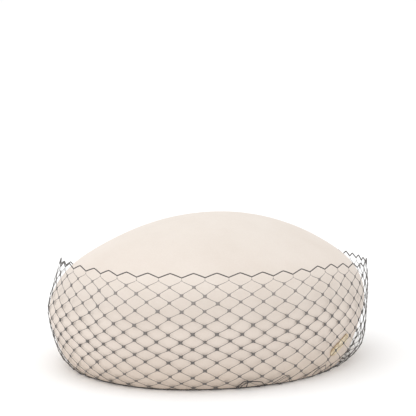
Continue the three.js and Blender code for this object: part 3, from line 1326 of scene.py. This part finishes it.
    def knots(self) -> bpy.types.Object:
        """Wind one knot and set a copy of it at every crossing.

        Returns:
            All the knots, as one piece.
        """
        Workbench.clear_selection()
        bpy.ops.mesh.primitive_uv_sphere_add(segments=8, ring_count=4, radius=1.0)
        pattern = Workbench.name_new("knot_pattern")
        for vertex in pattern.data.vertices:
            corner = abs(vertex.co.x * vertex.co.y) > self.knot_corner
            wide, tall = self.knot_arm if corner else self.knot_waist
            vertex.co.x *= wide
            vertex.co.y *= tall
            vertex.co.z *= self.knot_depth
        shape = np.array([vertex.co for vertex in pattern.data.vertices])
        loops = [tuple(face.vertices) for face in pattern.data.polygons]
        points: list[np.ndarray] = []
        faces: list[tuple[int, ...]] = []
        for here, side, below in self.knot_places():
            out = side.cross(-below) / side.length
            turn = np.array([side, -below, out])
            start = len(points) * len(shape)
            size = 1 + self.knot_spread * self.chance.uniform(-1, 1)
            points.append(size * shape @ turn + np.array(here))
            faces += [tuple(corner + start for corner in face) for face in loops]
        data = bpy.data.meshes.new("net_knots")
        data.from_pydata(np.vstack(points).tolist(), [], faces)
        knots = bpy.data.objects.new("net_knots", data)
        bpy.context.scene.collection.objects.link(knots)
        bpy.data.objects.remove(pattern)
        return knots

    def ring(self, name: str, place: Callable[[float], Point]) -> bpy.types.Object:
        """Bend a circle of vertices round the hat.

        Args:
            name: The new piece's name.
            place: Gives the point at a number of columns round the hat.

        Returns:
            The ring, as a wire.
        """
        Workbench.clear_selection()
        bpy.ops.mesh.primitive_circle_add(vertices=self.ring_cuts * self.columns, radius=1.0)
        ring = Workbench.name_new(name)
        for index, vertex in enumerate(ring.data.vertices):
            vertex.co = place(index / self.ring_cuts)
        return ring

    def tooth_point(self, column: float) -> Point:
        """Give a point of the zigzag edge, whose peaks are a little blunt.

        Args:
            column: How many columns it lies from the first peak.

        Returns:
            The point.
        """
        away = abs((column + 0.5) % 1.0 - 0.5) * 2
        blunt = self.tooth_dip * math.exp(-((away / self.tooth_tip) ** 2))
        return self.hang(self.turn(column), -self.tooth * (1 - away - blunt))

    def edge_cord(self) -> bpy.types.Object:
        """Make the zigzag cord along the net's top."""
        return Workbench.thread(self.ring("net_edge_cord", self.tooth_point), self.cord_radius, 8)

    def hem_point(self, column: float) -> Point:
        """Give a point of the gathering thread, which sways a little under the rim.

        Args:
            column: How many columns it lies from the first peak.

        Returns:
            The point.
        """
        angle = self.turn(column)
        sway = self.hem_sway * math.sin(self.hem_waves * angle + self.hem_phase)
        return self.drape.point(angle, self.drape.wall_length(angle) + self.hem_drop + sway)

    def hem_thread(self) -> bpy.types.Object:
        """Make the gathering thread that draws the net in under the rim."""
        return Workbench.thread(self.ring("net_hem_thread_1", self.hem_point), self.hem_radius)

    def stray_point(self, degrees: float, rise: float, out: float) -> Point:
        """Give a point of a loose loop.

        Args:
            degrees: Its plan angle, in degrees.
            rise: How far up the wall it lies from the rim, in millimetres.
            out: How far out from the net it lies, in millimetres.

        Returns:
            The point.
        """
        angle = math.radians(degrees)
        here = Vector(self.drape.point(angle, self.drape.wall_length(angle) - rise * MM))
        level = Vector((here.x, here.y, 0.0)).normalized()
        return tuple(here + level * (out * MM + self.stray_clear))

    def stray_ends(self) -> bpy.types.Object:
        """Lay the loose loops and pulled strands that show along the rim.

        Returns:
            All of them, as one piece.
        """
        ends = []
        for radius, rows in STRAY_ENDS:
            line = spline_row(rows, self.stray_cuts * (len(rows) - 1))
            wire = Workbench.path("stray_end", [self.stray_point(*row) for row in line])
            ends.append(Workbench.thread(wire, radius * MM))
        return Workbench.join(ends, "net_stray_ends")

    def build(self) -> None:
        """Build and dress the whole veil."""
        net = self.lattice()
        places = [here for here, _, _ in self.knot_places()]
        ties, crossings = Workbench.tree(places[: self.columns]), Workbench.tree(places[self.columns :])

        def swell(place: Vector) -> float:
            """Thicken the thread near its knots and thin it near its ties.

            Args:
                place: A place on the thread.

            Returns:
                The share of the thread's radius.
            """
            from_knot = crossings.find(place)[2] / self.thicker_within
            from_tie = ties.find(place)[2] / self.thinner_within
            return 1.0 + self.thicker * math.exp(-(from_knot**2)) - self.thinner * math.exp(-(from_tie**2))

        net = Workbench.thread(net, self.thread_radius, swell=swell)
        knots = self.knots()
        cords = (self.edge_cord(), self.hem_thread(), self.stray_ends())
        netting, knotting = self.netting.material(), self.knotting.material()
        cording = self.cording.material()
        for piece, material in ((net, netting), (knots, knotting), *((cord, cording) for cord in cords)):
            Workbench.keep_above(piece, self.lowest)
            Workbench.activate(piece)
            bpy.ops.object.shade_smooth()
            dress(piece, Slot.NETTING, material, Node.VEIL)


@dataclass
class PinPlate:
    """The small plain gilt plate on the felt."""

    oval: Oval
    crown: Crown
    length: float = 18 * MM
    width: float = 6 * MM
    thickness: float = 0.8 * MM
    seat: float = 0.3 * MM
    angle: float = 21.0
    height: float = 15.8 * MM
    tilt: float = 27.0
    end_round: float = 0.48
    border: float = 0.7 * MM
    step_in: float = 0.25 * MM
    cuts: int = 14
    edge_round: float = 0.12 * MM
    smooth_angle: float = 35.0
    finish: GiltFinish = field(default_factory=GiltFinish)

    def bent(self, flat: Vector) -> Point:
        """Bend a point of the flat plate to the felt.

        Args:
            flat: The point, with x along the plate, y across it and z out of it.

        Returns:
            Its place on the hat.
        """
        tilt, middle = math.radians(self.tilt), math.radians(self.angle)
        level = flat.x * math.cos(tilt) - flat.y * math.sin(tilt)
        rise = flat.x * math.sin(tilt) + flat.y * math.cos(tilt)
        reach = self.crown.reach_at((self.height + rise) / self.oval.height, middle)
        angle = middle + level / (self.oval.scale(middle) * reach)
        out = self.oval.scale(angle) * reach + self.seat + flat.z
        return self.oval.place(angle, out, self.oval.rim + self.height + rise)

    def build(self) -> None:
        """Cut the plate from a flat sheet, round its ends, raise its border and bend it."""
        Workbench.clear_selection()
        bpy.ops.mesh.primitive_plane_add(size=1.0)
        plate = Workbench.name_new("gilt_plate")
        Workbench.edit()
        bpy.ops.transform.resize(value=(self.length, self.width, 1.0), center_override=(0.0, 0.0, 0.0))
        bpy.ops.mesh.bevel(affect="VERTICES", offset=self.width * self.end_round, segments=8)
        bpy.ops.mesh.select_all(action="SELECT")
        bpy.ops.mesh.extrude_region_move()
        bpy.ops.transform.translate(value=(0.0, 0.0, self.thickness))
        bpy.ops.mesh.inset(thickness=self.border)
        bpy.ops.mesh.inset(thickness=self.step_in, depth=-self.step_in)
        for cut in range(1, self.cuts):
            bpy.ops.mesh.select_all(action="SELECT")
            at = self.length * (cut / self.cuts - 0.5)
            bpy.ops.mesh.bisect(plane_co=(at, 0.0, 0.0), plane_no=(1.0, 0.0, 0.0))
        bpy.ops.mesh.select_all(action="SELECT")
        bpy.ops.mesh.normals_make_consistent(inside=False)
        Workbench.done()
        rounding = plate.modifiers.new("rounding", "BEVEL")
        rounding.width = self.edge_round
        rounding.segments = 2
        rounding.limit_method = "ANGLE"
        rounding.angle_limit = math.radians(self.smooth_angle)
        Workbench.apply_modifiers(plate)
        Workbench.wrap(plate, self.bent)
        bpy.ops.object.shade_smooth_by_angle(angle=math.radians(self.smooth_angle))
        dress(plate, Slot.GILT, self.finish.material(), Node.PIN_PLATE)


@dataclass(frozen=True)
class SoftLight:
    """A soft square light, placed to the camera's right, towards the camera and up, in metres."""

    name: str
    place: Point
    size: float
    watts: float


@dataclass
class Studio:
    """The pale floor, the soft light and the camera."""

    azimuth: float = 48.0
    elevation: float = 11.74
    distance: float = 1.26
    focal_pixels: float = 2040.4
    frame_pixels: float = 416.0
    hat_middle: tuple[float, float] = (207.56, 285.9)
    sensor: float = 36.0
    floor_size: float = 30.0
    room_light: float = 1.04
    room_colour: Colour = (1.0, 1.0, 1.0)
    near_clip: float = 50 * MM
    lights: tuple[SoftLight, ...] = (
        SoftLight("key", (-0.6, 0.4, 1.6), size=2.0, watts=7.8),
        SoftLight("fill", (-1.5, 0.8, 0.6), size=1.4, watts=1.9),
    )
    right: Vector = field(init=False)
    towards: Vector = field(init=False)

    def __post_init__(self) -> None:
        """Work out the camera's own directions on the floor."""
        turn = math.radians(self.azimuth)
        self.right = Vector((math.cos(turn), math.sin(turn), 0.0))
        self.towards = Vector((math.sin(turn), -math.cos(turn), 0.0))

    def floor(self) -> None:
        """Lay the floor."""
        Workbench.clear_selection()
        bpy.ops.mesh.primitive_plane_add(size=self.floor_size)
        floor = Workbench.name_new("floor")
        floor.data.materials.append(FloorFinish().material())

    def hang(self, light: SoftLight) -> None:
        """Hang one light so that it shines on the hat.

        Args:
            light: The light.
        """
        lamp = bpy.data.lights.new(light.name, "AREA")
        lamp.size = light.size
        lamp.energy = light.watts
        aside, near, up = light.place
        place = self.right * aside + self.towards * near + Vector((0.0, 0.0, up))
        holder = bpy.data.objects.new(light.name, lamp)
        holder.location = place
        holder.rotation_euler = (-place).to_track_quat("-Z", "Y").to_euler()
        bpy.context.scene.collection.objects.link(holder)

    def world(self) -> None:
        """Surround the hat with white."""
        shader = Shader("white_room", bpy.data.worlds)
        seen = shader.node("ShaderNodeLightPath", output="Is Camera Ray")
        strength = seen * (1 - self.room_light) + self.room_light
        given = {"Color": (*self.room_colour, 1.0), "Strength": strength}
        backdrop = shader.node("ShaderNodeBackground", {}, given)
        shader.node("ShaderNodeOutputWorld", {}, {"Surface": backdrop})
        bpy.context.scene.world = shader.made

    def camera(self, middle_height: float) -> None:
        """Set the camera at the photograph's angle, with the hat where the frame has it.

        Args:
            middle_height: The height of the hat's middle, in metres.
        """
        rise = math.radians(self.elevation)
        middle = Vector((0.0, 0.0, middle_height))
        back = self.towards * math.cos(rise) + Vector((0.0, 0.0, math.sin(rise)))
        data = bpy.data.cameras.new("camera")
        data.sensor_width = self.sensor
        data.lens = self.focal_pixels * self.sensor / self.frame_pixels
        data.clip_start = self.near_clip
        camera = bpy.data.objects.new("camera", data)
        camera.location = middle + back * self.distance
        centre = self.frame_pixels / 2
        off_right = (centre - self.hat_middle[0]) / self.focal_pixels
        off_up = (self.hat_middle[1] - centre) / self.focal_pixels
        up = self.right.cross(-back)
        aim = -back + self.right * off_right + up * off_up
        camera.rotation_euler = aim.to_track_quat("-Z", "Y").to_euler()
        bpy.context.scene.collection.objects.link(camera)
        bpy.context.scene.camera = camera

    def build(self, middle_height: float) -> None:
        """Build the stage.

        Args:
            middle_height: The height of the hat's middle, in metres.
        """
        self.floor()
        self.world()
        for light in self.lights:
            self.hang(light)
        self.camera(middle_height)
        bpy.context.scene.view_settings.view_transform = "Standard"


def main() -> None:
    """Build the hat's pieces in order, then the stage."""
    logging.basicConfig(level=logging.INFO, format="%(name)s %(message)s")
    oval = Oval()
    crown = Crown(oval)
    crown.build()
    drape = Drape(oval, crown)
    Veil(oval, drape).build()
    PinPlate(oval, crown).build()
    Studio().build(oval.rim + oval.height / 2)


if __name__ == "__main__":
    main()
